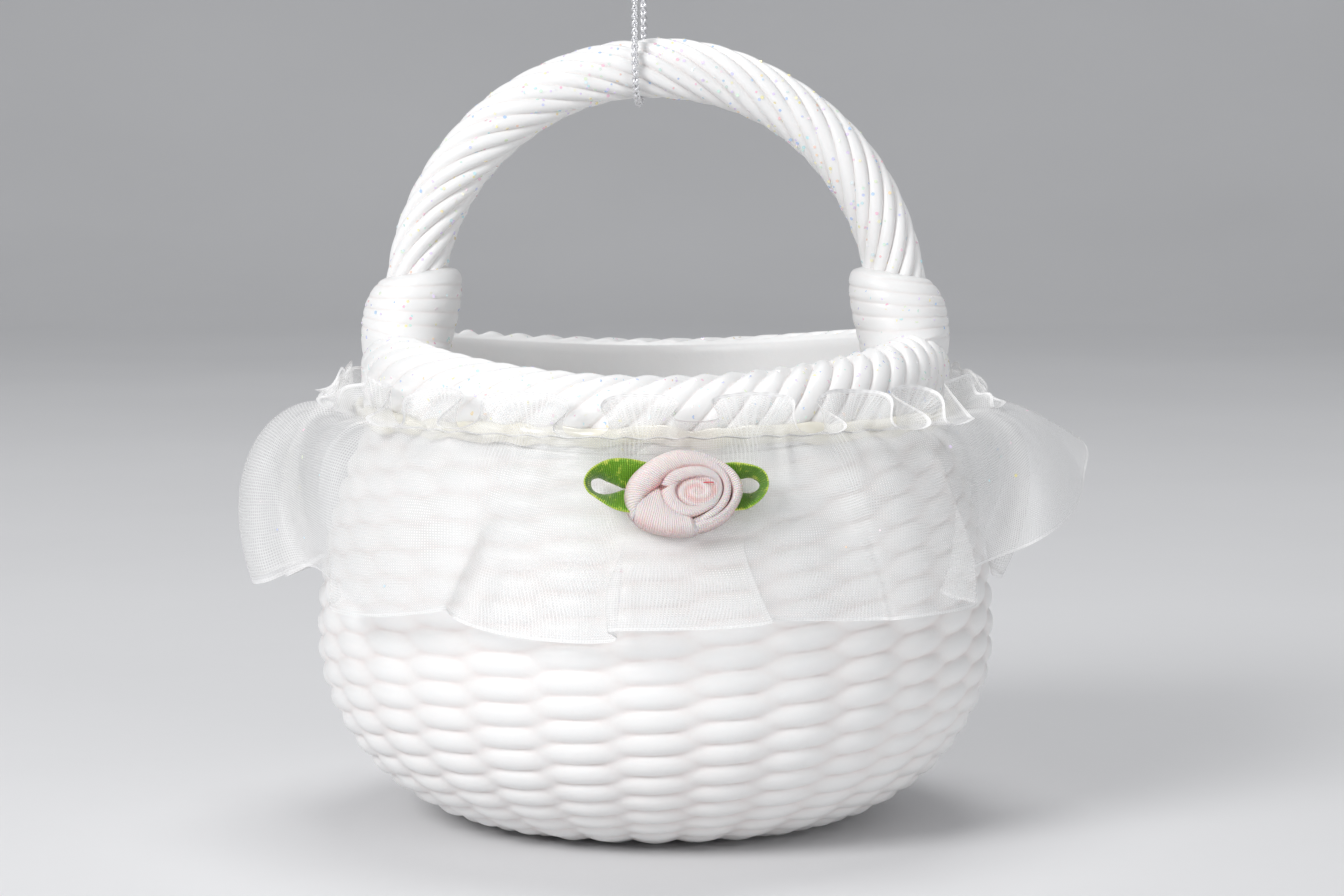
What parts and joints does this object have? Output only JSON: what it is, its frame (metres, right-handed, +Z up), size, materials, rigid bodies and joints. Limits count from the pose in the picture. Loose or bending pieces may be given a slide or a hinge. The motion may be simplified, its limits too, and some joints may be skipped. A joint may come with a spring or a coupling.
{
  "type": "flower girl basket",
  "caption": "Small white wicker-look basket with a rope arch handle, a gathered organza frill, a satin ribbon rose and a metallic cord loop to hang it by.",
  "frame": {"origin": "centre of the flat foot, on the surface that the basket stands on", "axes": "+Z up; the rose faces -Y; the handle spans X"},
  "size_m": [0.1084, 0.0964, 0.1155],
  "materials": {
    "white_plastic": "soft gloss, moulded in a woven wicker pattern",
    "glitter_plastic": "clear-coated, with fine iridescent glitter",
    "organza": "sheer plain weave with a slight sparkle and a firm narrow edge",
    "white_thread": "matt sewing thread",
    "hot_glue": "translucent, slightly yellow, smooth",
    "pink_satin": "satin sheen across a fine rib",
    "green_satin": "bright satin with yellow glints",
    "red_thread": "matt sewing thread",
    "silver_cord": "metallised plait, bright and slightly rough"
  },
  "bodies": {
    "basket": {"bowl": "white_plastic", "rim_rope": "glitter_plastic", "handle": "glitter_plastic", "binding_left": "glitter_plastic", "binding_right": "glitter_plastic", "glue_bead": "hot_glue", "frill": "organza", "gather_thread": "white_thread", "rose_pad": "hot_glue", "leaf_ribbon": "green_satin", "rose_ribbon": "pink_satin", "rose_stitch": "red_thread"},
    "hanger": {"hanger_cord": "silver_cord", "hanger_knot": "silver_cord"}
  },
  "joints": [
    {"name": "hanger_swing", "type": "hinge", "parent": "basket", "child": "hanger", "pos_m": [-0.002, 0, 0.0944], "axis": [1, 0, 0], "continuous": true}
  ]
}
